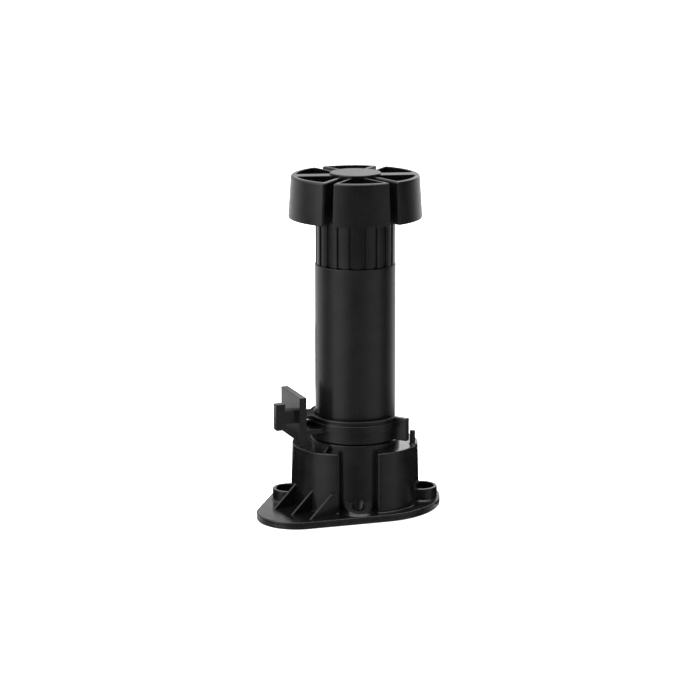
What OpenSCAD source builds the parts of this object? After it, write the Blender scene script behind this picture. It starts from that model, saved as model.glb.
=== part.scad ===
// Adjustable plinth leg: a screw-on mounting plate with a socket, a plain leg tube that plugs into
// it, a fluted foot that screws out of the tube's far end, and a clip that carries a plinth panel.
// The leg stands on its mounting plate, as it does before it is fitted under a cabinet.
// Directions: -Y is the front, +X the right, and angles named "turn" are measured from the front
// towards the right. The origin is on the leg's axis, in the plate's mounting face.

/* [Mounting plate] */
// Thickness of the flange
flange_t = 3.2; // [2.4:0.1:4]
// Height of the decks above the mounting face
deck_z = 29.6; // [26:0.1:32]
// Radius of the two round lobes that carry the decks
lobe_r = 23.4; // [22.5:0.1:24]
// Sideways offset of each lobe from the axis
lobe_dx = 4.2; // [3:0.1:5]
// Moulded wall thickness
wall = 2.2; // [1.8:0.1:2.6]
// Width of the front and back valleys between the lobes
valley_w = 16.4; // [14:0.1:20]
// Radius of the four screw holes
screw_hole_r = 2.2; // [1.8:0.1:2.5]
// Distance from the axis to each side screw hole
side_hole_x = 31; // [30:0.1:32]
// Distance from the axis to the front and back screw holes
valley_hole_y = 21.7; // [21.6:0.1:21.8]

/* [Leg tube] */
// Outer diameter of the tube
tube_d = 35; // [34:0.5:36]
// Wall of the tube
tube_wall = 2.5; // [2:0.1:3]
// Height at which the tube ends
tube_top_z = 109.4; // [100:0.1:160]
// Length of the threaded insert in the tube's end
insert_len = 20; // [14:0.5:24]

/* [Foot] */
// Diameter of the foot disc at its lower rim
disc_d = 57.7; // [50:0.1:64]
// Height of the foot disc
disc_h = 18.3; // [14:0.1:22]
// Amount by which the rim's radius narrows towards the sole
disc_draft = 1.2; // [0:0.1:2]
// Length of the fluted grip between disc and tube
grip_len = 20; // [12:0.5:30]
// Number of flutes around the grip
flutes = 20; // [12:1:28]
// Width of the tool slots across the disc
slot_w = 3.8; // [3:0.1:4.5]
// Half of the angle between the two tool slots
slot_turn = 30; // [25:1:35]
// Crest diameter of the adjusting thread
thread_d = 25; // [22:0.5:26]
// Lead of the adjusting thread
thread_pitch = 5; // [3:0.5:6]

/* [Plinth clip] */
// Direction in which the clip's plate faces
clip_turn = -72.5; // [-180:0.5:180]
// Length of the clip's plate
clip_plate_len = 23.8; // [18:0.1:26]
// Height of the clip's plate
clip_plate_h = 20; // [16:0.1:24]
// Angle of the gap through which the clip snaps onto the tube
clip_gap = 106; // [90:1:120]

/* [Hidden] */
$fn = 96;
eps = 0.01;
fit = 0.05;

// The flange's outline is three round corners joined by tangents: [x, y, radius]
front_corner = [-26.5, -16.2, 17.5];
right_corner = [4.9, 7.4, 33.2];
back_corner = [-18.1, 13.3, 17];
corners = [front_corner, right_corner, back_corner];

lobe_y = 1.4;
valley_len = 30;
socket_outer_r = 19.4;
neck_z = 32.6;
socket_r = tube_d / 2 + fit;
tube_seat_z = 6;
tube_seat_w = 2.2;
deck_t = 2.4;
screw_ring_r = 7.1;
screw_ring_x = 29.2;
screw_ring_wall = 1.4;
screw_ring_z = 8.7;
screw_boss_y = 19.2;
screw_boss_r = 7;
screw_boss_top_r = 6;
screw_boss_z = 7.4;
screw_boss_slant = 22;
funnel_r = 3.3;
funnel_h = 3.4;
countersink_r = 3.2;
countersink_h = 1.2;
gusset_t = 1.1;
gusset_top_z = 12.6;
gusset_heading = 213;
gusset_feet = [[-36.4, -12.9], [-29.2, -22.4], [-21.5, -29.4]];
gusset_rise_run = 11.5;
gusset_run = 15;
peg_turn = 76;
peg_r = 25.4;
peg_h = 7.3;
neck_rib_turn = -40;
neck_rib_r = 23.3;
neck_rib_top = [19.6, 32.3];

tube_r = tube_d / 2;
tube_inner_r = tube_r - tube_wall;
insert_r = tube_inner_r - fit;
crest_r = thread_d / 2;
root_r = crest_r - 1.5;
crest_w = thread_pitch * 0.34;
root_w = thread_pitch * 0.3;
thread_turns = 13;
insert_bore_r = crest_r + fit;

grip_z = tube_top_z + 0.2;
disc_z = grip_z + grip_len;
sole_z = disc_z + disc_h;
disc_r = disc_d / 2;
sole_r = disc_r - disc_draft;
grip_r = tube_r - 0.3;
grip_inner_r = 14.2;
flute_phase = 0.33;
flute_w = 1.9;
flute_depth = 1;
floor_t = 2.4;
rim_wall = 2.2;
rim_chamfer = 0.8;
hub_r = 11;
hub_proud = 1;
foot_rest_turn = 2;
rib_t = 1.6;
spoke_w = 6.5;
stem_end_z = tube_top_z - 48.4;
stem_shoulder_z = disc_z - 0.1;
spigot_r = 6.5;
stem_bore_r = 6;

clip_z = 33.3;
clip_top_z = 43.4;
clip_bore_r = tube_r + fit;
clip_band_r = 20.6;
clip_wall_r = 19.7;
clip_lip_r = 20.3;
clip_band_z = [38, 41.4];
clip_lip_h = 1;
clip_plate_z = 34.1;
clip_plate_face = 29.6;
clip_plate_t = 3.2;
clip_plate_shift = -1.6;
clip_tab_t = 2.6;
clip_tab_cap = 0.3;
clip_tab_r = 26.1;
shelf_z = [37, 39.2];
arm_z = [37.5, 40.5];
hook_t = 3.8;
hook_shift = 4.7;
hook_stem_z = [42.3, 48.2];
hook_stem_len = 5.2;
hook_head_z = [39.5, 51.2];
hook_head_w = 4.2;

// A vector of length r that points in a direction measured from the front towards the right
function at_turn(r, turn) = [r * sin(turn), -r * cos(turn)];

// The two points where the outer tangent of round corners a and b touches them
function tangent(a, b) =
    let (d = [b[0] - a[0], b[1] - a[1]],
         lean = atan2(d[1], d[0]) - acos((a[2] - b[2]) / norm(d)),
         n = [cos(lean), sin(lean)])
    [[a[0], a[1]] + a[2] * n, [b[0], b[1]] + b[2] * n];

// Turns its children, drawn facing the front, to face another direction
module facing(turn) {
    rotate([0, 0, turn]) children();
}

// A block from one corner to the opposite one
module block(low, high) {
    translate(low) cube(high - low);
}

// A flat ring
module ring(outer, inner, z0, z1) {
    difference() {
        translate([0, 0, z0]) cylinder(r = outer, h = z1 - z0);
        translate([0, 0, z0 - 1]) cylinder(r = inner, h = z1 - z0 + 2);
    }
}

module flange_outline() {
    for (c = corners) translate([c[0], c[1]]) circle(r = c[2]);
    polygon([for (i = [0:2]) each tangent(corners[i], corners[(i + 1) % 3])]);
}

// Plan of the two joined lobes, drawn in from their outside by inset
module lobes_plan(inset) {
    r = lobe_r - inset;
    translate([0, lobe_y]) {
        for (s = [-1, 1]) translate([s * lobe_dx, 0]) circle(r = r);
        square([2 * lobe_dx, 2 * r], center = true);
    }
}

// Plan of the front and back valleys, widened by extra on each side
module valleys_plan(extra) {
    w = valley_w + 2 * extra;
    translate([-w / 2, -valley_len]) square([w, 2 * valley_len]);
}

// The two lobes, solid, with the valleys cut in to the socket's wall
module lobes() {
    linear_extrude(deck_z) difference() {
        lobes_plan(0);
        difference() {
            valleys_plan(0);
            circle(r = socket_outer_r - 1);
        }
    }
}

// The hollows inside the lobes, open at the mounting face
module lobe_hollows() {
    translate([0, 0, -1]) linear_extrude(deck_z - deck_t + 1) difference() {
        lobes_plan(wall);
        valleys_plan(wall);
        circle(r = socket_outer_r - 1);
    }
}

module side_screw_ring(side) {
    translate([side * screw_ring_x, lobe_y, 0])
        ring(screw_ring_r, screw_ring_r - screw_ring_wall, 0, screw_ring_z);
}

// A low cone whose top slants down and away from the leg
module valley_screw_boss(side) {
    difference() {
        translate([0, side * screw_boss_y, 0])
            cylinder(r1 = screw_boss_r, r2 = screw_boss_top_r, h = screw_boss_z);
        translate([0, side * (socket_outer_r - 1), screw_boss_z]) rotate([-side * screw_boss_slant, 0, 0])
            translate([-20, side > 0 ? 0 : -20, 0]) cube([40, 20, 20]);
    }
}

// A thin upright web in the XZ plane, given by its outline
module web(outline) {
    rotate([90, 0, 0]) translate([0, 0, -gusset_t / 2]) linear_extrude(gusset_t) polygon(outline);
}

// A triangular web between the flange and the left lobe, rooted 1 mm deep in the flange
module gusset(foot) {
    slope = gusset_rise_run / (gusset_top_z - flange_t);
    translate([foot[0], foot[1], 0]) rotate([0, 0, gusset_heading - 180])
        web([[-slope, flange_t - 1], [gusset_rise_run, gusset_top_z],
             [gusset_run, gusset_top_z], [gusset_run, flange_t - 1]]);
}

// A small ramp-shaped web between the left deck and the neck
module neck_rib() {
    top = neck_rib_top;
    slope = (neck_rib_r - top[0]) / (top[1] - deck_z);
    root_r = socket_outer_r - 1;
    rotate([0, 0, neck_rib_turn - 90])
        web([[root_r, deck_z - 1], [neck_rib_r + slope, deck_z - 1], top, [root_r, top[1]]]);
}

// A screw hole whose top opens out to radius r over depth h
module screw_hole(x, y, top, r, h) {
    translate([x, y, -1]) cylinder(r = screw_hole_r, h = top + 2);
    translate([x, y, top - h]) cylinder(r1 = screw_hole_r, r2 = r, h = h + eps);
}

module mounting_plate() {
    color("#1d1d1f") difference() {
        union() {
            difference() {
                union() {
                    linear_extrude(flange_t) flange_outline();
                    lobes();
                    for (side = [-1, 1]) side_screw_ring(side);
                    for (foot = gusset_feet) gusset(foot);
                }
                lobe_hollows();
            }
            cylinder(r = socket_outer_r, h = neck_z);
            for (side = [-1, 1]) valley_screw_boss(side);
            translate(concat(at_turn(peg_r, peg_turn), deck_z - 1)) cylinder(r = 1.2, h = peg_h);
            neck_rib();
        }
        translate([0, 0, tube_seat_z]) cylinder(r = socket_r, h = deck_z);
        translate([0, 0, flange_t]) cylinder(r = socket_r - tube_seat_w, h = deck_z);
        for (side = [-1, 1]) {
            screw_hole(side * side_hole_x, lobe_y, flange_t, countersink_r, countersink_h);
            screw_hole(0, side * valley_hole_y, screw_boss_z, funnel_r, funnel_h);
        }
    }
}

module leg_tube() {
    color("#2a2a2c") ring(tube_r, tube_inner_r, tube_seat_z + 0.1, tube_top_z);
}

module thread_insert() {
    color("#202022") ring(insert_r, insert_bore_r, tube_top_z - insert_len, tube_top_z);
}

// One tooth space of the thread's profile, as [radius, height] points from z upwards
function thread_gap(z) = [
    [crest_r, z],
    [root_r, z + (thread_pitch - crest_w - root_w) / 2],
    [root_r, z + (thread_pitch - crest_w + root_w) / 2],
    [crest_r, z + thread_pitch - crest_w]
];

module threaded_stem() {
    lead_in = 1.2;
    color("#202022") difference() {
        union() {
            rotate_extrude() polygon(concat(
                [[0, stem_end_z], [crest_r - lead_in, stem_end_z], [crest_r, stem_end_z + lead_in]],
                [for (i = [0:thread_turns - 1])
                    each thread_gap(stem_end_z + lead_in + crest_w + i * thread_pitch)],
                [[crest_r, stem_shoulder_z], [0, stem_shoulder_z]]));
            translate([0, 0, stem_shoulder_z - 1])
                cylinder(r = spigot_r, h = sole_z + hub_proud - stem_shoulder_z + 1);
        }
        translate([0, 0, stem_end_z - 1])
            cylinder(r = stem_bore_r, h = stem_shoulder_z - stem_end_z - 6);
    }
}

module grip() {
    difference() {
        ring(grip_r, grip_inner_r, grip_z, disc_z + eps);
        for (i = [0:flutes - 1]) facing((i + flute_phase) * 360 / flutes)
            block([-flute_w / 2, -grip_r - 1, grip_z - 1], [flute_w / 2, flute_depth - grip_r, disc_z]);
    }
}

// The full width of a wall or slot along both tool slots, from radius r0 outwards
module along_slots(w, r0, z0, z1) {
    for (turn = [-slot_turn, slot_turn, 180 - slot_turn, 180 + slot_turn]) facing(turn)
        block([-w / 2, -disc_r - 1, z0], [w / 2, -r0, z1]);
}

// The rim: a drafted ring, chamfered at the sole
module disc_rim() {
    difference() {
        union() {
            translate([0, 0, disc_z]) cylinder(r1 = disc_r, r2 = sole_r, h = disc_h - rim_chamfer);
            translate([0, 0, sole_z - rim_chamfer - eps])
                cylinder(r1 = sole_r, r2 = sole_r - rim_chamfer, h = rim_chamfer + eps);
        }
        translate([0, 0, disc_z - 1]) cylinder(r = sole_r - rim_wall, h = disc_h + 2);
    }
}

// The walls beside the tool slots, the wide spoke and the hub, all inside the rim
module disc_web() {
    intersection() {
        union() {
            along_slots(slot_w + 2 * rib_t, 0, disc_z, sole_z);
            block([-disc_r, -spoke_w / 2, disc_z], [disc_r, spoke_w / 2, sole_z]);
        }
        translate([0, 0, disc_z]) cylinder(r = sole_r - rim_wall / 2, h = disc_h);
    }
    translate([0, 0, disc_z]) cylinder(r = sole_r - rim_wall / 2, h = floor_t);
}

module foot_disc() {
    color("#1b1b1d") facing(foot_rest_turn) {
        difference() {
            union() {
                disc_rim();
                disc_web();
            }
            translate([0, 0, disc_z + floor_t]) cylinder(r = hub_r - 1, h = disc_h);
            along_slots(slot_w, hub_r - 1, disc_z + floor_t, sole_z + 1);
            along_slots(slot_w, grip_r, disc_z - 1, sole_z + 1);
            translate([0, 0, disc_z - 1]) cylinder(r = spigot_r + fit, h = disc_h + 2);
        }
        ring(hub_r, spigot_r + fit, disc_z, sole_z + hub_proud);
        grip();
    }
}

module clip_ring() {
    ring(clip_wall_r, clip_bore_r, clip_z, clip_top_z);
    ring(clip_band_r, clip_bore_r, clip_band_z[0], clip_band_z[1]);
    ring(clip_lip_r, clip_bore_r, clip_top_z - clip_lip_h, clip_top_z);
}

// The wedge of space through which the clip snaps onto the tube, at the back of the clip
module clip_mouth() {
    far = 40;
    linear_extrude(clip_top_z + 10)
        polygon([[0, 0], at_turn(far, 180 - clip_gap / 2), at_turn(far * 2, 180),
                 at_turn(far, 180 + clip_gap / 2)]);
}

// A radial grip tab that caps one end of the clip's open ring
module clip_tab(side) {
    middle = side * (clip_tab_cap - clip_tab_t / 2);
    facing(180 + side * clip_gap / 2)
        block([middle - clip_tab_t / 2, -clip_tab_r, clip_z],
              [middle + clip_tab_t / 2, -clip_bore_r - 0.4, clip_top_z]);
}

module clip_plate() {
    half = clip_plate_len / 2;
    block([clip_plate_shift - half, -clip_plate_face, clip_plate_z],
          [clip_plate_shift + half, clip_plate_t - clip_plate_face, clip_plate_z + clip_plate_h]);
}

// The shelf, the arm and the top web that join the clip's ring to its plate
module clip_arms() {
    reach = clip_plate_t - clip_plate_face - 1;
    block([-1.6, reach, shelf_z[0]], [8.4, -15, shelf_z[1]]);
    block([-4.4, reach, arm_z[0]], [-1.2, -15, arm_z[1]]);
    block([-11, reach, clip_top_z - 1.5], [0.8, -12, clip_top_z]);
}

// The T-shaped hook that takes the plinth's groove
module clip_hook() {
    neck = clip_plate_face + hook_stem_len;
    block([hook_shift - hook_t / 2, -neck - 1, hook_stem_z[0]],
          [hook_shift + hook_t / 2, 1 - clip_plate_face, hook_stem_z[1]]);
    block([hook_shift - hook_t / 2, -neck - hook_head_w, hook_head_z[0]],
          [hook_shift + hook_t / 2, -neck, hook_head_z[1]]);
}

module plinth_clip() {
    color("#222224") facing(clip_turn) difference() {
        union() {
            difference() {
                clip_ring();
                clip_mouth();
            }
            for (side = [-1, 1]) clip_tab(side);
            clip_plate();
            clip_arms();
            clip_hook();
        }
        cylinder(r = clip_bore_r, h = clip_top_z + 20);
    }
}

mounting_plate();
leg_tube();
thread_insert();
threaded_stem();
foot_disc();
plinth_clip();
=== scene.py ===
"""Looks of an adjustable plinth leg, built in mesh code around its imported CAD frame.

Shapes are drawn in millimetres in the frame's own axes: -Y is the front, +Z runs from the plate's
mounting face to the foot's sole, and a "turn" is an angle from the front towards the right.
"""

from math import acos, asin, atan2, ceil, cos, degrees, hypot, pi, radians, sin, tan

import bmesh
import bpy
from mathutils import Euler, Matrix, Vector


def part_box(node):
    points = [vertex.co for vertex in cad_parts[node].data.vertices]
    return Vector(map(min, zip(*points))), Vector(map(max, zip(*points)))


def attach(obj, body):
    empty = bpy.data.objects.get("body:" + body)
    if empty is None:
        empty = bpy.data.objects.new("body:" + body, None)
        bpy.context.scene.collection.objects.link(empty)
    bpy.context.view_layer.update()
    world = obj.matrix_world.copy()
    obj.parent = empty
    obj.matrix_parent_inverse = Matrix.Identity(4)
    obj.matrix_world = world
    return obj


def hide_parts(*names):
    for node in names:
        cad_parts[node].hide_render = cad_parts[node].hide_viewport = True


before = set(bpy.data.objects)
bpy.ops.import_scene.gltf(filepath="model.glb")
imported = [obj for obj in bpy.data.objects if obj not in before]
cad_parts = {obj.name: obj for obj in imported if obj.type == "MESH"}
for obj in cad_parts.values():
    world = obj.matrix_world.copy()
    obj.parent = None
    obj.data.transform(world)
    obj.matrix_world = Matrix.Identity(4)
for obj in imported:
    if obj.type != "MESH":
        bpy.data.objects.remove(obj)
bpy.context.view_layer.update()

MM = 0.001
CHORD = 0.006        # how far a straight piece may lie inside the arc that it draws
MERGE = 0.0005       # vertices closer than this are one
ROUND_STEPS = 4      # straight pieces across a rounded edge
LATHE_STEPS = 160
SHARP_ANGLE = 34     # faces that meet at more than this many degrees keep a crisp edge
FIT = 0.05           # radial clearance of a running fit


# ---------------------------------------------------------------- outlines
# An outline is a list of arcs (centre x, centre y, radius, start angle, end angle), in degrees and
# in order round the shape. Arcs that run clockwise are hollow corners. Straight edges join them.

def arc_steps(radius, sweep):
    """How many straight pieces an arc needs."""
    if radius < MERGE:
        return 1
    step = 2 * acos(1 - min(CHORD / radius, 0.1))
    return max(2, ceil(radians(abs(sweep)) / step))


def steps_of(arcs):
    return [arc_steps(r, end - start) for _, _, r, start, end in arcs]


def outline(arcs, inset=0.0, steps=None):
    """The outline's points, with its edge moved inwards by inset."""
    points = []
    for (cx, cy, r, start, end), count in zip(arcs, steps or steps_of(arcs)):
        radius = r - inset if end > start else r + inset
        for i in range(count + 1):
            a = radians(start + (end - start) * i / count)
            points.append((cx + radius * cos(a), cy + radius * sin(a)))
    return points


def cornered(corners):
    """Arcs of a polygon given as [x, y, corner radius], anticlockwise."""
    arcs = []
    for i, (x, y, r) in enumerate(corners):
        here = Vector((x, y))
        before = Vector(corners[i - 1][:2])
        after = Vector(corners[(i + 1) % len(corners)][:2])
        into = (here - before).normalized()
        out = (after - here).normalized()
        side = 1 if into.cross(out) > 0 else -1
        sweep = degrees(acos(max(-1, min(1, into.dot(out)))))
        start = degrees(atan2(-into.x, into.y)) + (0 if side > 0 else 180)
        reach = r * tan(radians(sweep) / 2)
        normal = Vector((-into.y, into.x)) * side
        centre = here - into * reach + normal * r
        arcs.append((centre.x, centre.y, r, start, start + side * sweep))
    return arcs


def hull(circles):
    """Arcs of round corners (x, y, radius), anticlockwise, joined by their outer tangents."""
    def lean(a, b):
        dx, dy = b[0] - a[0], b[1] - a[1]
        return degrees(atan2(dy, dx) - acos((a[2] - b[2]) / hypot(dx, dy)))

    arcs = []
    for i, here in enumerate(circles):
        start = lean(circles[i - 1], here)
        end = lean(here, circles[(i + 1) % len(circles)])
        arcs.append((*here, start, start + (end - start) % 360))
    return arcs


def wedge(low, low_gap, high, high_gap, radius, corner, inner_corner):
    """Arcs of a sector between two walls that run out from the axis at angles low and high,
    each wall set in by its gap, with an arc of the given radius outside."""
    low_turn = low + degrees(asin((low_gap + corner) / (radius - corner)))
    high_turn = high - degrees(asin((high_gap + corner) / (radius - corner)))
    a, b = low_gap + inner_corner, high_gap + inner_corner
    lo, hi, spread = radians(low), radians(high), sin(radians(high - low))
    tip = ((a * cos(hi) + b * cos(lo)) / spread, (a * sin(hi) + b * sin(lo)) / spread)

    def corner_arc(turn, start, end):
        away = radius - corner
        return (away * cos(radians(turn)), away * sin(radians(turn)), corner, start, end)

    return [
        corner_arc(low_turn, low - 90, low_turn),
        (0, 0, radius, low_turn, high_turn),
        corner_arc(high_turn, high_turn, high + 90),
        (*tip, inner_corner, high + 90, low + 270),
    ]


def segment(cx, cy, radius, wall, corner):
    """Arcs of the part of a circle that lies to the right of x = wall."""
    x = wall + corner
    y = ((radius - corner) ** 2 - (x - cx) ** 2) ** 0.5
    turn = degrees(atan2(y, x - cx))
    return [
        (x, cy - y, corner, -180, -turn),
        (cx, cy, radius, -turn, turn),
        (x, cy + y, corner, turn, 180),
    ]


# ---------------------------------------------------------------- solids

def solid(name, verts, faces):
    """A closed object from vertices in millimetres."""
    mesh = bpy.data.meshes.new(name)
    mesh.from_pydata([tuple(c * MM for c in v) for v in verts], [], faces)
    work = bmesh.new()
    work.from_mesh(mesh)
    bmesh.ops.remove_doubles(work, verts=work.verts, dist=MERGE * MM)
    if work.calc_volume(signed=True) < 0:
        bmesh.ops.reverse_faces(work, faces=work.faces)
    work.to_mesh(mesh)
    work.free()
    made = bpy.data.objects.new(name, mesh)
    bpy.context.scene.collection.objects.link(made)
    return made


def prism(name, rings):
    """A solid skinned over rings of points, which all have the same number of points."""
    count = len(rings[0])
    faces = [tuple(reversed(range(count)))]
    for k in range(len(rings) - 1):
        for i in range(count):
            j = (i + 1) % count
            faces.append((k * count + i, k * count + j, (k + 1) * count + j, (k + 1) * count + i))
    faces.append(tuple(range((len(rings) - 1) * count, len(rings) * count)))
    return solid(name, [p for ring in rings for p in ring], faces)


def rounding(at, radius, way):
    """Levels [z, inset] of a rounded edge that ends at height at; way is 1 for a top edge."""
    if not radius:
        return [(at, 0)]
    levels = []
    for i in range(ROUND_STEPS + 1):
        t = radians(90 * i / ROUND_STEPS)
        levels.append((at - way * radius * (1 - sin(t)), radius * (1 - cos(t))))
    return levels if way > 0 else levels[::-1]


def fillet(at, radius, root=0.6):
    """Levels [z, inset] of a hollow fillet that stands on a surface at height at."""
    levels = [(at - root, -radius)]
    for i in range(ROUND_STEPS + 1):
        t = radians(90 * i / ROUND_STEPS)
        levels.append((at + radius * (1 - cos(t)), radius * (sin(t) - 1)))
    return levels


def slab(name, arcs, levels):
    """An upright prism of an outline, given as levels [z, inset] from below."""
    steps = steps_of(arcs)
    return prism(name, [[(x, y, z) for x, y in outline(arcs, inset, steps)]
                        for z, inset in levels])


def rounded_box(name, low, high, r=0.3):
    corners = [(low[0], low[1], r), (high[0], low[1], r), (high[0], high[1], r),
               (low[0], high[1], r)]
    return slab(name, cornered(corners), rounding(low[2], r, -1) + rounding(high[2], r, 1))


def lathe(name, profile, steps=LATHE_STEPS):
    """A solid of revolution from a closed outline of [radius, z] points."""
    count = len(profile)
    verts = [(r * cos(2 * pi * s / steps), r * sin(2 * pi * s / steps), z)
             for s in range(steps) for r, z in profile]
    faces = []
    for s in range(steps):
        here, there = s * count, (s + 1) % steps * count
        for i in range(count):
            j = (i + 1) % count
            if max(profile[i][0], profile[j][0]) > MERGE:
                faces.append((here + i, there + i, there + j, here + j))
    return solid(name, verts, faces)


def turning(name, corners, steps=LATHE_STEPS):
    """A solid of revolution from corners [radius, z, corner radius]."""
    return lathe(name, outline(cornered(corners)), steps)


def moved(obj, x=0, y=0, z=0, spin=0, lean=0):
    """Leans an object over about X, spins it about Z and then moves it."""
    turn = Matrix.Rotation(radians(spin), 4, "Z") @ Matrix.Rotation(radians(lean), 4, "X")
    obj.data.transform(Matrix.Translation(Vector((x, y, z)) * MM) @ turn)
    return obj


def settle(obj):
    """Turns an object's modifiers into mesh."""
    graph = bpy.context.evaluated_depsgraph_get()
    mesh = bpy.data.meshes.new_from_object(obj.evaluated_get(graph))
    obj.modifiers.clear()
    obj.data = mesh
    return obj


def combine(base, parts, operation):
    for part in parts:
        cut = base.modifiers.new(part.name, "BOOLEAN")
        cut.operation = operation
        cut.solver = "MANIFOLD"
        cut.object = part
    settle(base)
    for part in parts:
        bpy.data.objects.remove(part)
    return base


def add(base, *parts):
    return combine(base, parts, "UNION")


def cut(base, *parts):
    return combine(base, parts, "DIFFERENCE")


def at_turn(r, turn):
    return r * sin(radians(turn)), -r * cos(radians(turn))


# ---------------------------------------------------------------- materials

def node(tree, kind, **values):
    made = tree.nodes.new(kind)
    for key, value in values.items():
        setattr(made, key, value)
    return made


def noise(tree, place, scale, detail=3.0, stretch=(1, 1, 1)):
    """A noise whose features are 1 / scale metres across."""
    mapping = node(tree, "ShaderNodeMapping")
    mapping.inputs["Scale"].default_value = stretch
    tree.links.new(place, mapping.inputs["Vector"])
    made = node(tree, "ShaderNodeTexNoise")
    made.inputs["Scale"].default_value = scale
    made.inputs["Detail"].default_value = detail
    tree.links.new(mapping.outputs["Vector"], made.inputs["Vector"])
    return made.outputs["Fac"]


def spread(tree, value, low, high, low_in=0.3, high_in=0.7):
    """A noise value mapped to a range."""
    made = node(tree, "ShaderNodeMapRange")
    made.inputs["From Min"].default_value = low_in
    made.inputs["From Max"].default_value = high_in
    made.inputs["To Min"].default_value = low
    made.inputs["To Max"].default_value = high
    tree.links.new(value, made.inputs["Value"])
    return made.outputs["Result"]


def plastic(name, dark, pale, rough, grain, grain_depth, stretch=(1, 1, 1), edge=0.22):
    """Black plastic: mottled tone, uneven gloss, fine surface grain, softened creases."""
    made = bpy.data.materials.new(name)
    made.use_nodes = True
    tree = made.node_tree
    shader = tree.nodes["Principled BSDF"]
    shader.inputs["IOR"].default_value = 1.5
    place = node(tree, "ShaderNodeTexCoord").outputs["Object"]

    tone = node(tree, "ShaderNodeMix", data_type="RGBA")
    tone.inputs["A"].default_value = (*dark, 1)
    tone.inputs["B"].default_value = (*pale, 1)
    tree.links.new(spread(tree, noise(tree, place, 140), 0, 1), tone.inputs["Factor"])
    tree.links.new(tone.outputs["Result"], shader.inputs["Base Color"])

    gloss = spread(tree, noise(tree, place, 420, 5.0, stretch), *rough)
    tree.links.new(gloss, shader.inputs["Roughness"])

    crease = node(tree, "ShaderNodeBevel", samples=4)
    crease.inputs["Radius"].default_value = edge * MM
    wave = node(tree, "ShaderNodeBump")
    wave.inputs["Strength"].default_value = 0.25
    wave.inputs["Distance"].default_value = 0.06 * MM
    tree.links.new(noise(tree, place, 110, 2.0), wave.inputs["Height"])
    tree.links.new(crease.outputs["Normal"], wave.inputs["Normal"])
    fine = node(tree, "ShaderNodeBump")
    fine.inputs["Strength"].default_value = 0.2
    fine.inputs["Distance"].default_value = grain_depth * MM
    tree.links.new(noise(tree, place, grain, 2.0, stretch), fine.inputs["Height"])
    tree.links.new(wave.outputs["Normal"], fine.inputs["Normal"])
    tree.links.new(fine.outputs["Normal"], shader.inputs["Normal"])
    return made


moulded = plastic("moulded_gloss_black", (0.004, 0.004, 0.0043), (0.007, 0.007, 0.0073),
                  (0.18, 0.25), 2600, 0.005)
moulded_clip = plastic("moulded_clip_black", (0.004, 0.004, 0.0043), (0.007, 0.007, 0.0073),
                       (0.20, 0.27), 2600, 0.006)
extruded = plastic("extruded_satin_black", (0.006, 0.006, 0.0064), (0.009, 0.009, 0.0094),
                   (0.22, 0.27), 5200, 0.003, (1, 1, 0.015))


def dress(obj, node_name, body, material):
    """Finishes a piece and lets it stand for its CAD node."""
    obj.name = f"{node_name}_fine"
    mesh = obj.data
    mesh.materials.clear()
    mesh.materials.append(material)
    mesh.shade_smooth()
    mesh.set_sharp_from_angle(angle=radians(SHARP_ANGLE))
    soften = obj.modifiers.new("even_normals", "WEIGHTED_NORMAL")
    soften.keep_sharp = True
    soften.weight = 60
    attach(obj, body)
    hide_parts(node_name)
    return obj


# ---------------------------------------------------------------- sizes from the frame

def box_mm(node_name):
    low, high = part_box(node_name)
    return [c / MM for c in low], [c / MM for c in high]


plate_low, plate_high = box_mm("mounting_plate")
tube_low, tube_high = box_mm("leg_tube")
insert_low, insert_high = box_mm("thread_insert")
stem_low, stem_high = box_mm("threaded_stem")
foot_low, foot_high = box_mm("foot_disc")
clip_low, clip_high = box_mm("plinth_clip")

peg_top = plate_high[2]
tube_r = tube_high[0]
tube_top = tube_high[2]
tube_inner_r = insert_high[0] + FIT
crest_r = stem_high[0]
hub_top = foot_high[2]
grip_z = foot_low[2]
disc_r = foot_high[0]
clip_z = clip_low[2]


# ---------------------------------------------------------------- mounting plate

FLANGE_T = 3.2
FLANGE_CORNERS = [(-26.5, -16.2, 17.5), (4.9, 7.4, 33.2), (-18.1, 13.3, 17)]
LOBE_R = 23.4
LOBE_X = 4.2
LOBE_Y = 1.4
LOBE_DRAFT = 0.6
LOBE_CORNER = 1.2
VALLEY_HALF = 8.2
WALL = 2.2
DECK_Z = 29.6
DECK_T = 2.4
SOCKET_R = 19.4
NECK_Z = 32.6
SEAT_Z = 6
SEAT_W = 2.2
RING_X = 29.2
RING_R = 7.1
RING_WALL = 1.4
RING_Z = 8.7
BOSS_Y = 19.2
BOSS_R = 7
BOSS_Z = 7.4
BOSS_SLANT = 22
HOLE_R = 2.2
FUNNEL_R = 3.3
FUNNEL_H = 3.4
SIDE_HOLE_X = 31
VALLEY_HOLE_Y = 21.7
GUSSET_T = 1.1
GUSSET_TOP_Z = 12.6
GUSSET_RUN = 11.5
GUSSET_LEN = 15
GUSSET_SPIN = 33
GUSSET_FEET = [(-36.4, -12.9), (-29.2, -22.4), (-21.5, -29.4)]
NECK_RIB_TURN = -40
NECK_RIB_REACH = 23.3
NECK_RIB_TOP = (19.6, NECK_Z - 0.3)
PEG_TURN = 76
PEG_R = 25.4
PEG_HALF = 1.2


def flange():
    """The flange, with a shallow parting groove round its edge."""
    groove = 0.22
    inside = 0.02    # keeps the curved edge inside the CAD mesh's flatter one
    middle = FLANGE_T / 2
    lips = [(middle - 0.35, 0), (middle - 0.2, groove), (middle + 0.1, groove),
            (middle + 0.25, 0)]
    return slab("mounting_plate", hull([(x, y, r - inside) for x, y, r in FLANGE_CORNERS]),
                rounding(0, 0.4, -1) + lips + rounding(FLANGE_T, 0.5, 1))


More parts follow.
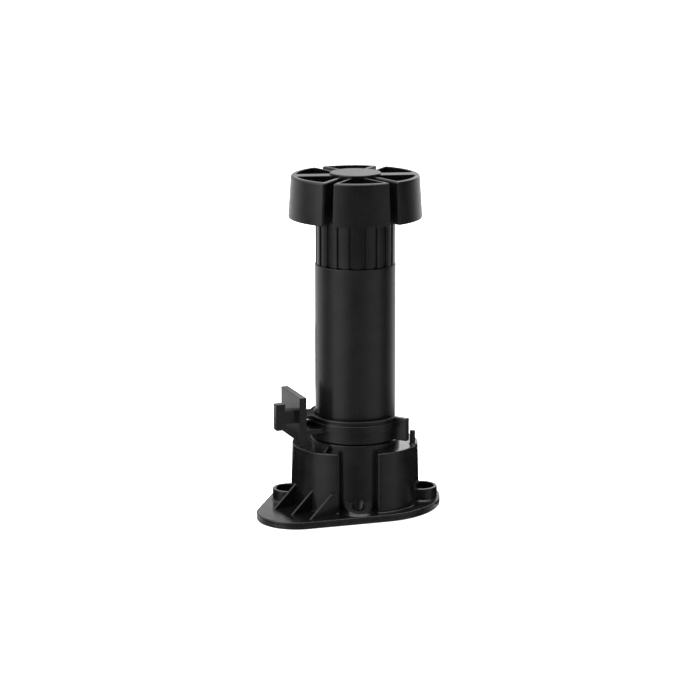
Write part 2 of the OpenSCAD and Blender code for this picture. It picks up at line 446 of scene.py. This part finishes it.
def lobe(side):
    """One drafted lobe, rooted in the flange by a fillet."""
    arcs = segment(LOBE_X, LOBE_Y, LOBE_R, VALLEY_HALF, LOBE_CORNER)
    levels = fillet(FLANGE_T, 0.9)[:-1] + rounding(DECK_Z, 0.55, 1)
    rings = []
    steps = steps_of(arcs)
    for z, inset in levels:
        grow = LOBE_DRAFT * (DECK_Z - max(z, FLANGE_T)) / (DECK_Z - FLANGE_T)
        ring = outline(segment(LOBE_X, LOBE_Y, LOBE_R + grow, VALLEY_HALF, LOBE_CORNER),
                       inset, steps)
        rings.append([(x, y, z) for x, y in ring])
    made = prism("lobe", rings)
    return moved(made, y=2 * LOBE_Y, spin=180) if side < 0 else made


def lobe_hollow(side):
    arcs = segment(LOBE_X, LOBE_Y, LOBE_R - WALL, VALLEY_HALF + WALL, 1)
    made = slab("hollow", arcs, [(-1, -0.4), (0, -0.4), (0.4, 0)]
                + rounding(DECK_Z - DECK_T, 0.6, 1))
    return moved(made, y=2 * LOBE_Y, spin=180) if side < 0 else made


def socket():
    return turning("socket", [(0, 1, 0), (SOCKET_R, 1, 0), (SOCKET_R, NECK_Z, 0.45),
                              (0, NECK_Z, 0)])


def socket_bore():
    bore = tube_r + FIT
    return turning("bore", [(0, FLANGE_T, 0), (bore - SEAT_W, FLANGE_T, 0.5),
                            (bore - SEAT_W, SEAT_Z, 0.2), (bore, SEAT_Z, 0.3),
                            (bore, NECK_Z - 0.9, 0.3), (bore + 0.75, NECK_Z + 0.1, 0),
                            (bore + 0.75, NECK_Z + 3, 0), (0, NECK_Z + 3, 0)])


def side_ring(side):
    inner = RING_R - RING_WALL
    root = FLANGE_T - 0.8
    profile = [(inner, root, 0), (RING_R + 0.6, root, 0), (RING_R + 0.6, FLANGE_T, 0),
               (RING_R, FLANGE_T + 0.6, 0.3), (RING_R, RING_Z, 0.35),
               (inner, RING_Z, 0.35)]
    return moved(turning("ring", profile, 72), side * RING_X, LOBE_Y)


def screw_boss(side):
    """A low cone whose top slants down and away from the leg."""
    profile = [(0, 1, 0), (BOSS_R + 0.8, 1, 0), (BOSS_R + 0.8, FLANGE_T, 0),
               (BOSS_R - 0.3, FLANGE_T + 0.9, 0.6), (BOSS_R - 1, BOSS_Z, 0.6),
               (0, BOSS_Z, 0)]
    boss = moved(turning("boss", profile, 96), y=side * BOSS_Y)
    slant = rounded_box("slant", [-20, min(0, side * 20), 0], [20, max(0, side * 20), 20], 0)
    return cut(boss, moved(slant, y=side * (SOCKET_R - 1), z=BOSS_Z, lean=-side * BOSS_SLANT))


def screw_bore(x, y, top, radius, depth):
    """A cutter for a screw hole that opens out over a depth to a radius at its top."""
    profile = [(0, -1, 0), (HOLE_R + 0.3, -1, 0), (HOLE_R + 0.3, 0, 0), (HOLE_R, 0.3, 0),
               (HOLE_R, top - depth, 0.2), (radius, top, 0), (radius, top + 1, 0),
               (0, top + 1, 0)]
    return moved(turning("screw_bore", profile, 64), x, y)


def web(corners, x=0, y=0, spin=0):
    """A thin upright web with softened edges, drawn in the XZ plane."""
    levels = rounding(-GUSSET_T / 2, 0.25, -1) + rounding(GUSSET_T / 2, 0.25, 1)
    return moved(slab("web", cornered(corners), levels), x, y, spin=spin, lean=90)


def gusset(x, y):
    slope = GUSSET_RUN / (GUSSET_TOP_Z - FLANGE_T)
    return web([(-slope, FLANGE_T - 1, 0.3), (GUSSET_LEN, FLANGE_T - 1, 0.3),
                (GUSSET_LEN, GUSSET_TOP_Z, 0.3), (GUSSET_RUN, GUSSET_TOP_Z, 0.8)],
               x, y, GUSSET_SPIN)


def neck_rib():
    """A small ramp between the left deck and the neck."""
    top_r, top_z = NECK_RIB_TOP
    slope = (NECK_RIB_REACH - top_r) / (top_z - DECK_Z)
    root = SOCKET_R - 1
    return web([(root, DECK_Z - 1, 0.3), (NECK_RIB_REACH + slope, DECK_Z - 1, 0.3),
                (top_r, top_z, 0.5), (root, top_z, 0.3)], spin=NECK_RIB_TURN - 90)


def peg():
    x, y = at_turn(PEG_R, PEG_TURN)
    foot = PEG_HALF + 0.5
    profile = [(0, DECK_Z - 1, 0), (foot, DECK_Z - 1, 0), (foot, DECK_Z, 0),
               (PEG_HALF, DECK_Z + 0.5, 0.3), (PEG_HALF, peg_top, 0.45), (0, peg_top, 0)]
    return moved(turning("peg", profile, 32), x, y)


def make_mounting_plate():
    sides = (-1, 1)
    plate = flange()
    add(plate, *[lobe(s) for s in sides], *[side_ring(s) for s in sides],
        *[gusset(*foot) for foot in GUSSET_FEET])
    cut(plate, *[lobe_hollow(s) for s in sides])
    add(plate, socket(), *[screw_boss(s) for s in sides], peg(), neck_rib())
    cut(plate, socket_bore(),
        *[screw_bore(s * SIDE_HOLE_X, LOBE_Y, FLANGE_T, HOLE_R + 1, 1.2) for s in sides],
        *[screw_bore(0, s * VALLEY_HOLE_Y, BOSS_Z, FUNNEL_R, FUNNEL_H) for s in sides])
    return dress(plate, "mounting_plate", "plate", moulded)


# ---------------------------------------------------------------- tube, insert and stem

THREAD_PITCH = 5.0
THREAD_DEPTH = 1.5
# Depth below the crest over one pitch, as [share of the pitch, share of the depth]
THREAD_SECTION = [(0, 0), (0.145, 0), (0.185, 0.08), (0.33, 0.92), (0.37, 1), (0.5, 1),
                  (0.63, 1), (0.67, 0.92), (0.815, 0.08), (0.855, 0)]
THREAD_COLUMNS = 120
THREAD_PLAY = 0.12   # how much wider the insert's thread is cut than the stem's
STEM_BORE_R = 6
STEM_BORE_END = 6    # solid length left above the stem's blind bore


def threaded_rod(name, z0, z1, grow=0.0, run_out=2.5):
    """A rod with a right-handed thread that fades out at both ends. Its rows follow the helix."""
    rows = []
    first = int((z0 - stem_low[2]) / THREAD_PITCH) - 2
    last = int((z1 - stem_low[2]) / THREAD_PITCH) + 1
    for turn in range(first, last + 1):
        for share, depth in THREAD_SECTION:
            rows.append((stem_low[2] + (turn + share) * THREAD_PITCH, depth))
    per_turn = len(THREAD_SECTION)
    verts, faces = [], []
    for c in range(THREAD_COLUMNS):
        a = 2 * pi * c / THREAD_COLUMNS
        for row_z, depth in rows:
            z = min(max(row_z + THREAD_PITCH * c / THREAD_COLUMNS, z0), z1)
            full = min(1, min(z - z0, z1 - z) / run_out)
            r = crest_r + grow - THREAD_DEPTH * (1 - full * (1 - depth))
            verts.append((r * cos(a), r * sin(a), z))
    count = len(rows)
    for c in range(THREAD_COLUMNS):
        seam = c == THREAD_COLUMNS - 1
        there = 0 if seam else (c + 1) * count
        shift = per_turn if seam else 0
        for k in range(count - 1):
            low, high = min(k + shift, count - 1), min(k + 1 + shift, count - 1)
            if low != high:
                faces.append((c * count + k, there + low, there + high, c * count + k + 1))
            else:
                faces.append((c * count + k, there + low, c * count + k + 1))
    faces.append(tuple(c * count for c in reversed(range(THREAD_COLUMNS))))
    faces.append(tuple((c + 1) * count - 1 for c in range(THREAD_COLUMNS)))
    return solid(name, verts, faces)


def make_leg_tube():
    corners = [(tube_inner_r, tube_low[2], 0.3), (tube_r, tube_low[2], 0.4),
               (tube_r, tube_top, 0.3), (tube_inner_r, tube_top, 0.3)]
    made = turning("leg_tube", corners, 192)
    return dress(made, "leg_tube", "leg", extruded)


def make_thread_insert():
    outer = insert_high[0]
    corners = [(0, insert_low[2], 0), (outer, insert_low[2], 0.4), (outer, tube_top, 0.25),
               (0, tube_top, 0)]
    made = turning("thread_insert", corners)
    cut(made, threaded_rod("thread", insert_low[2] - 6, tube_top + 6, THREAD_PLAY))
    return dress(made, "thread_insert", "leg", moulded)


def make_threaded_stem():
    """The stem rides with the foot, so that its helix turns as the foot screws out."""
    shoulder = disc_z + 0.4
    made = threaded_rod("threaded_stem", stem_low[2], shoulder)
    mouth, end = stem_low[2], shoulder - STEM_BORE_END
    bore = turning("bore", [(0, mouth - 1, 0), (STEM_BORE_R + 0.6, mouth - 1, 0),
                            (STEM_BORE_R + 0.6, mouth, 0), (STEM_BORE_R, mouth + 0.6, 0.2),
                            (STEM_BORE_R, end, 1), (0, end, 0)], 72)
    cut(made, bore)
    return dress(made, "threaded_stem", "foot", moulded)


# ---------------------------------------------------------------- foot

DISC_H = 18.3
DISC_DRAFT = 1.2
FLOOR_T = 2.4
RIM_WALL = 2.2
RIB_T = 1.6
SLOT_HALF = 1.9
SPOKE_HALF = 3.25
HUB_R = 11
HUB_PROUD = 1
FOOT_TURN = 2
FLUTE_PHASE = 0.33
SEAM_TURN = -3.5
GRIP_R = tube_r - 0.3
GRIP_BORE_R = 14.2
FLUTES = 20
# Half of a flute's section, as [distance from its middle, depth]
FLUTE_SECTION = [(0.3, 1), (0.62, 0.97), (0.78, 0.82), (0.86, 0.5), (0.92, 0.2), (1.02, 0.05),
                 (1.2, 0)]
sole_z = hub_top - HUB_PROUD
disc_z = sole_z - DISC_H
sole_r = disc_r - DISC_DRAFT
# Angles from +X of the four tool slots, in order round the disc
SLOTS = [-120, -60, 60, 120, 240]


def rim_radius(z):
    return disc_r - DISC_DRAFT * (z - disc_z) / DISC_H


def sector(low, high):
    """One of the disc's four solid sectors between the tool slots."""
    def arcs(z):
        return wedge(low, SLOT_HALF, high, SLOT_HALF, rim_radius(z), 0.9, 1.0)

    steps = steps_of(arcs(disc_z))
    levels = rounding(disc_z, 0.45, -1) + rounding(sole_z, 0.85, 1)
    return prism("sector", [[(x, y, z) for x, y in outline(arcs(z), inset, steps)]
                            for z, inset in levels])


def pocket(low, low_gap, high, high_gap):
    """A cutter for one pocket in the sole, with softened rims and floor."""
    arcs = wedge(low, low_gap, high, high_gap, sole_r - RIM_WALL, 1.0, 1.0)
    floor = disc_z + FLOOR_T
    levels = [(floor, 0.5), (floor + 0.15, 0.15), (floor + 0.5, 0), (sole_z - 0.3, -0.1),
              (sole_z - 0.1, -0.2), (sole_z + 0.01, -0.4), (sole_z + 1, -0.4)]
    return slab("pocket", arcs, levels)


def grip():
    """The fluted grip below the disc."""
    pitch = 360 / FLUTES
    half = [(degrees(away / GRIP_R), depth) for away, depth in FLUTE_SECTION]
    land = [(half[-1][0] + (pitch - 2 * half[-1][0]) * k / 4, 0) for k in range(1, 4)]
    section = [(-a, d) for a, d in reversed(half)] + half + land
    rings = []
    for z, inset in rounding(grip_z, 0.35, -1) + [(disc_z + 1, 0)]:
        ring = []
        for i in range(FLUTES):
            for away, depth in section:
                a = radians((i + FLUTE_PHASE) * pitch - 90 + away)
                r = GRIP_R - depth - inset
                ring.append((r * cos(a), r * sin(a), z))
        rings.append(ring)
    return prism("grip", rings)


def parting_ridge(turn):
    """The fine witness line that runs down the disc and the grip."""
    half, proud = 0.11, 0.045
    disc = rounded_box("ridge", [-half, -disc_r - proud, disc_z + 0.8],
                       [half, -disc_r + 1.6, sole_z - 1.2], 0.04)
    for v in disc.data.vertices:
        v.co.y += (disc_r - rim_radius(v.co.z / MM)) * MM
    line = rounded_box("ridge", [-half, -GRIP_R - proud, grip_z + 0.3],
                       [half, -GRIP_R + 1.4, disc_z + 0.6], 0.04)
    return [moved(disc, spin=turn), moved(line, spin=turn)]


def make_foot_disc():
    foot = grip()
    floor_r = GRIP_R + 0.06
    floor = turning("floor", [(0, disc_z + 0.12, 0), (floor_r, disc_z + 0.12, 0.2),
                              (floor_r, disc_z + FLOOR_T, 0.3), (0, disc_z + FLOOR_T, 0)])
    add(foot, floor, *[sector(a, b) for a, b in zip(SLOTS, SLOTS[1:])])
    cut(foot, pocket(-120, SLOT_HALF + RIB_T, -60, SLOT_HALF + RIB_T),
        pocket(60, SLOT_HALF + RIB_T, 120, SLOT_HALF + RIB_T),
        *[pocket(a, SLOT_HALF + RIB_T, a + 60, SPOKE_HALF) for a in (-60, 120)],
        *[pocket(a, SPOKE_HALF, a + 60, SLOT_HALF + RIB_T) for a in (0, 180)])
    floor_z = disc_z + FLOOR_T
    hub = turning("hub", [(0, disc_z + 0.5, 0), (HUB_R + 0.8, disc_z + 0.5, 0),
                          (HUB_R + 0.8, floor_z, 0), (HUB_R + 0.15, floor_z + 0.7, 0.5),
                          (HUB_R, hub_top, 0.5), (0, hub_top, 0)])
    add(foot, hub, *parting_ridge(SEAM_TURN), *parting_ridge(SEAM_TURN + 180))
    bore = turning("bore", [(0, grip_z - 1, 0), (GRIP_BORE_R + 0.4, grip_z - 1, 0),
                            (GRIP_BORE_R + 0.4, grip_z, 0), (GRIP_BORE_R, grip_z + 0.4, 0.2),
                            (GRIP_BORE_R, disc_z, 0.8), (0, disc_z, 0)])
    cut(foot, bore)
    moved(foot, spin=FOOT_TURN)
    return dress(foot, "foot_disc", "foot", moulded)


# ---------------------------------------------------------------- plinth clip

CLIP_TURN = -72.5
CLIP_TOP_Z = 43.4
CLIP_GAP = 106
BAND_Z = (38, 41.4)
CLIP_WALL_R = 19.7
BAND_R = 20.6
LIP_R = 20.3
TAB_R = 26.1
TAB_T = 2.6
TAB_CAP = 0.3
PLATE_FACE = 29.6
PLATE_T = 3.2
PLATE_HALF = 11.9
PLATE_SHIFT = -1.6
PLATE_Z = 34.1
# What joins the ring to the plate, as (x from, x to), (z from, z to) and its end towards the ring
SHELF = ((-1.6, 8.4), (37, 39.2), -15)
ARM = ((-4.4, -1.2), (37.5, 40.5), -15)
TOP_WEB = ((-11, 0.8), (CLIP_TOP_Z - 1.5, CLIP_TOP_Z - 0.02), -12)
HOOK_SHIFT = 4.7
HOOK_T = 3.8
HOOK_STEM_Z = (42.3, 48.2)
HOOK_HEAD_Z = (39.5, 51.2)
HOOK_STEM = 5.2
HOOK_HEAD = 4.2


def clip_ring():
    inner = tube_r - 0.5
    made = turning("plinth_clip", [
        (inner, clip_z, 0), (CLIP_WALL_R, clip_z, 0.3), (CLIP_WALL_R, BAND_Z[0], 0.2),
        (BAND_R, BAND_Z[0], 0.3), (BAND_R, BAND_Z[1], 0.3), (CLIP_WALL_R, BAND_Z[1], 0.2),
        (CLIP_WALL_R, CLIP_TOP_Z - 1, 0.2), (LIP_R, CLIP_TOP_Z - 1, 0.25),
        (LIP_R, CLIP_TOP_Z, 0.35), (inner, CLIP_TOP_Z, 0)])
    far = 60
    ends = [at_turn(far, 180 + s * CLIP_GAP / 2) for s in (-1, 1)]
    mouth = slab("mouth", cornered([(0, 0, 0), (*ends[0], 0), (*at_turn(2 * far, 180), 0),
                                    (*ends[1], 0)]), [(clip_z - 1, 0), (CLIP_TOP_Z + 1, 0)])
    return cut(made, mouth)


def clip_tab(side):
    middle = side * (TAB_CAP - TAB_T / 2)
    made = rounded_box("tab", [middle - TAB_T / 2, -TAB_R, clip_z],
                       [middle + TAB_T / 2, -tube_r - 0.45, CLIP_TOP_Z], 0.4)
    return moved(made, spin=180 + side * CLIP_GAP / 2)


def clip_front():
    """The plate, the shelf, the arm and the top web behind it, and the T-hook."""
    back = PLATE_T - PLATE_FACE

    def link(name, place, r):
        (x0, x1), (z0, z1), end = place
        return rounded_box(name, [x0, back - 1, z0], [x1, end, z1], r)

    hook = [HOOK_SHIFT - HOOK_T / 2, HOOK_SHIFT + HOOK_T / 2]
    neck = -PLATE_FACE - HOOK_STEM
    return [
        rounded_box("plate", [PLATE_SHIFT - PLATE_HALF, -PLATE_FACE, PLATE_Z],
                    [PLATE_SHIFT + PLATE_HALF, back, clip_high[2]], 0.35),
        link("shelf", SHELF, 0.3),
        link("arm", ARM, 0.3),
        link("top", TOP_WEB, 0.25),
        rounded_box("stem", [hook[0] + 0.02, neck - 1, HOOK_STEM_Z[0]],
                    [hook[1] - 0.02, 1 - PLATE_FACE, HOOK_STEM_Z[1]], 0.3),
        rounded_box("head", [hook[0], neck - HOOK_HEAD, HOOK_HEAD_Z[0]],
                    [hook[1], neck, HOOK_HEAD_Z[1]], 0.45),
    ]


def make_plinth_clip():
    clip = clip_ring()
    add(clip, *[clip_tab(s) for s in (-1, 1)], *clip_front())
    bore = tube_r + FIT
    cut(clip, turning("bore", [
        (0, clip_z - 1, 0), (bore + 0.4, clip_z - 1, 0), (bore + 0.4, clip_z, 0),
        (bore, clip_z + 0.5, 0.2), (bore, CLIP_TOP_Z - 0.9, 0.3),
        (bore + 0.8, CLIP_TOP_Z + 0.05, 0), (bore + 0.8, CLIP_TOP_Z + 20, 0),
        (0, CLIP_TOP_Z + 20, 0)]))
    moved(clip, spin=CLIP_TURN)
    return dress(clip, "plinth_clip", "clip", moulded_clip)


make_mounting_plate()
make_leg_tube()
make_thread_insert()
make_threaded_stem()
make_foot_disc()
make_plinth_clip()


# ---------------------------------------------------------------- stage, lights and camera

FLOOR_GLOW = 0.88
FLAG_R = 185         # reach of the two dark flags that lie left and right on the floor
FLAG_TURNS = (88, 104, 120, 134, 148)    # directions of their outer corners
PEAK = 4.0           # the highest radiance that the tables can hold
LIFT = 1.6           # how much brighter the studio gets above the horizon
TOP = 3.0            # radiance overhead
# The bands of direction, as the sine of the elevation, over which the studio changes
LOW_TO_HIGH = (-0.12, 0.02)
LIFT_BAND = (0.15, 0.28)
TOP_BAND = (0.72, 0.92)
# Brightness of the studio round the object, as (direction, radiance): the direction is an angle in
# degrees from the front, positive to the right. LOW is what upright faces mirror, HIGH is what
# faces that look slightly up and level faces mirror.
LOW = [(-180, 1.1), (-140, 0.9), (-121, 0.7), (-101, 0.2), (-88, 0.06), (-78, 0.2), (-68, 0.6),
       (-45, 0.62), (-30, 0.32), (-14, 0.12), (0, 0.09), (18, 0.12), (38, 0.3), (64, 0.38),
       (80, 0.12), (94, 0.03), (112, 0.25), (134, 0.8), (180, 1.1)]
HIGH = [(-180, 0.6), (-150, 0.5), (-104, 0.5), (-88, 1.0), (-74, 1.5), (-60, 1.5), (-40, 0.7),
        (-28, 0.35), (-15, 0.15), (0, 0.08), (40, 0.12), (58, 0.3), (76, 0.15), (99, 0.05),
        (122, 0.08), (140, 0.7), (165, 1.2), (180, 0.6)]


def make_floor():
    """A white floor that glows a little, so that only a faint contact shadow shows on it."""
    bpy.ops.mesh.primitive_plane_add(size=60, location=(0, 0, -0.0002))
    floor = bpy.context.object
    floor.name = "floor"
    floor.visible_glossy = False
    made = bpy.data.materials.new("white_floor")
    made.use_nodes = True
    shader = made.node_tree.nodes["Principled BSDF"]
    shader.inputs["Base Color"].default_value = (0.9, 0.9, 0.9, 1)
    shader.inputs["Roughness"].default_value = 1
    shader.inputs["Specular IOR Level"].default_value = 0
    shader.inputs["Emission Color"].default_value = (1, 1, 1, 1)
    shader.inputs["Emission Strength"].default_value = FLOOR_GLOW
    floor.data.materials.append(made)


def brightness(tree, place, table):
    """A colour ramp that gives the table's radiance for a direction between 0 and 1."""
    ramp = node(tree, "ShaderNodeValToRGB")
    stops = ramp.color_ramp.elements
    for angle, radiance in table:
        at = (angle + 180) / 360
        stop = stops[0] if at == 0 else stops[-1] if at == 1 else stops.new(at)
        stop.color = (*[radiance / PEAK] * 3, 1)
    tree.links.new(place, ramp.inputs["Fac"])
    return ramp.outputs["Color"]


def card(name, corners, glow):
    """A panel that only mirrors see: a dark one is a flag, a glowing one a reflector."""
    mesh = bpy.data.meshes.new(name)
    mesh.from_pydata([tuple(c * MM for c in corner) for corner in corners], [],
                     [tuple(range(len(corners)))])
    panel = bpy.data.objects.new(name, mesh)
    bpy.context.scene.collection.objects.link(panel)
    made = bpy.data.materials.new(name)
    made.use_nodes = True
    shader = made.node_tree.nodes["Principled BSDF"]
    shader.inputs["Base Color"].default_value = (0.0, 0.0, 0.0, 1)
    shader.inputs["Specular IOR Level"].default_value = 0
    shader.inputs["Emission Color"].default_value = (1, 1, 1, 1)
    shader.inputs["Emission Strength"].default_value = glow
    mesh.materials.append(made)
    panel.visible_camera = False
    panel.visible_diffuse = False
    panel.visible_shadow = False


def upright_card(name, x0, x1, y, z0, z1, glow):
    card(name, [(x0, y, z0), (x1, y, z0), (x1, y, z1), (x0, y, z1)], glow)


def make_world():
    """A studio that the camera sees as plain white, and the object as lit panels."""
    world = bpy.data.worlds.new("studio")
    bpy.context.scene.world = world
    world.use_nodes = True
    tree = world.node_tree
    tree.nodes.clear()
    away = node(tree, "ShaderNodeTexCoord").outputs["Generated"]
    axes = node(tree, "ShaderNodeSeparateXYZ")
    tree.links.new(away, axes.inputs["Vector"])
    front = node(tree, "ShaderNodeMath", operation="MULTIPLY")
    front.inputs[1].default_value = -1
    tree.links.new(axes.outputs["Y"], front.inputs[0])
    turn = node(tree, "ShaderNodeMath", operation="ARCTAN2")
    tree.links.new(axes.outputs["X"], turn.inputs[0])
    tree.links.new(front.outputs["Value"], turn.inputs[1])
    place = spread(tree, turn.outputs["Value"], 0, 1, -pi, pi)

    top = node(tree, "ShaderNodeMix", data_type="RGBA")
    top.inputs["B"].default_value = (*[TOP / PEAK / LIFT] * 3, 1)
    tree.links.new(spread(tree, axes.outputs["Z"], 0, 1, *TOP_BAND), top.inputs["Factor"])
    level = node(tree, "ShaderNodeMix", data_type="RGBA")
    tree.links.new(spread(tree, axes.outputs["Z"], 0, 1, *LOW_TO_HIGH), level.inputs["Factor"])
    tree.links.new(brightness(tree, place, LOW), level.inputs["A"])
    tree.links.new(brightness(tree, place, HIGH), level.inputs["B"])

    path = node(tree, "ShaderNodeLightPath")
    seen = node(tree, "ShaderNodeBackground")
    lit = node(tree, "ShaderNodeBackground")
    seen.inputs["Color"].default_value = (1, 1, 1, 1)
    tree.links.new(level.outputs["Result"], top.inputs["A"])
    tree.links.new(top.outputs["Result"], lit.inputs["Color"])
    tree.links.new(spread(tree, axes.outputs["Z"], PEAK, PEAK * LIFT, *LIFT_BAND),
                   lit.inputs["Strength"])
    mix = node(tree, "ShaderNodeMixShader")
    out = node(tree, "ShaderNodeOutputWorld")
    tree.links.new(path.outputs["Is Camera Ray"], mix.inputs["Fac"])
    tree.links.new(lit.outputs["Background"], mix.inputs[1])
    tree.links.new(seen.outputs["Background"], mix.inputs[2])
    tree.links.new(mix.outputs["Shader"], out.inputs["Surface"])


def make_camera():
    """The photograph's view: from the front, slightly left and above, through a long lens."""
    azimuth, distance, height = -4.0, 1.0, 0.3038
    down, aside = 13.12, 0.131
    data = bpy.data.cameras.new("camera")
    data.lens = 121.37
    data.sensor_width = 36
    data.clip_start = 0.05
    data.clip_end = 20
    camera = bpy.data.objects.new("camera", data)
    a = radians(azimuth)
    camera.location = (distance * sin(a), -distance * cos(a), height)
    camera.rotation_euler = Euler((radians(90 - down), 0, radians(azimuth + aside)))
    bpy.context.scene.collection.objects.link(camera)
    bpy.context.scene.camera = camera


make_floor()
for side, name in ((-1, "left_flag"), (1, "right_flag")):
    card(name, [(0, 0, -0.1)] + [(*at_turn(FLAG_R, side * turn), -0.1) for turn in FLAG_TURNS], 0)
upright_card("deck_reflector", 12, 80, 150, 62, 92, 2.4)
upright_card("deck_flag", -46, -2, 62, 38, 68, 0)
make_world()
make_camera()
bpy.context.scene.view_settings.view_transform = "Standard"
bpy.context.scene.view_settings.look = "None"
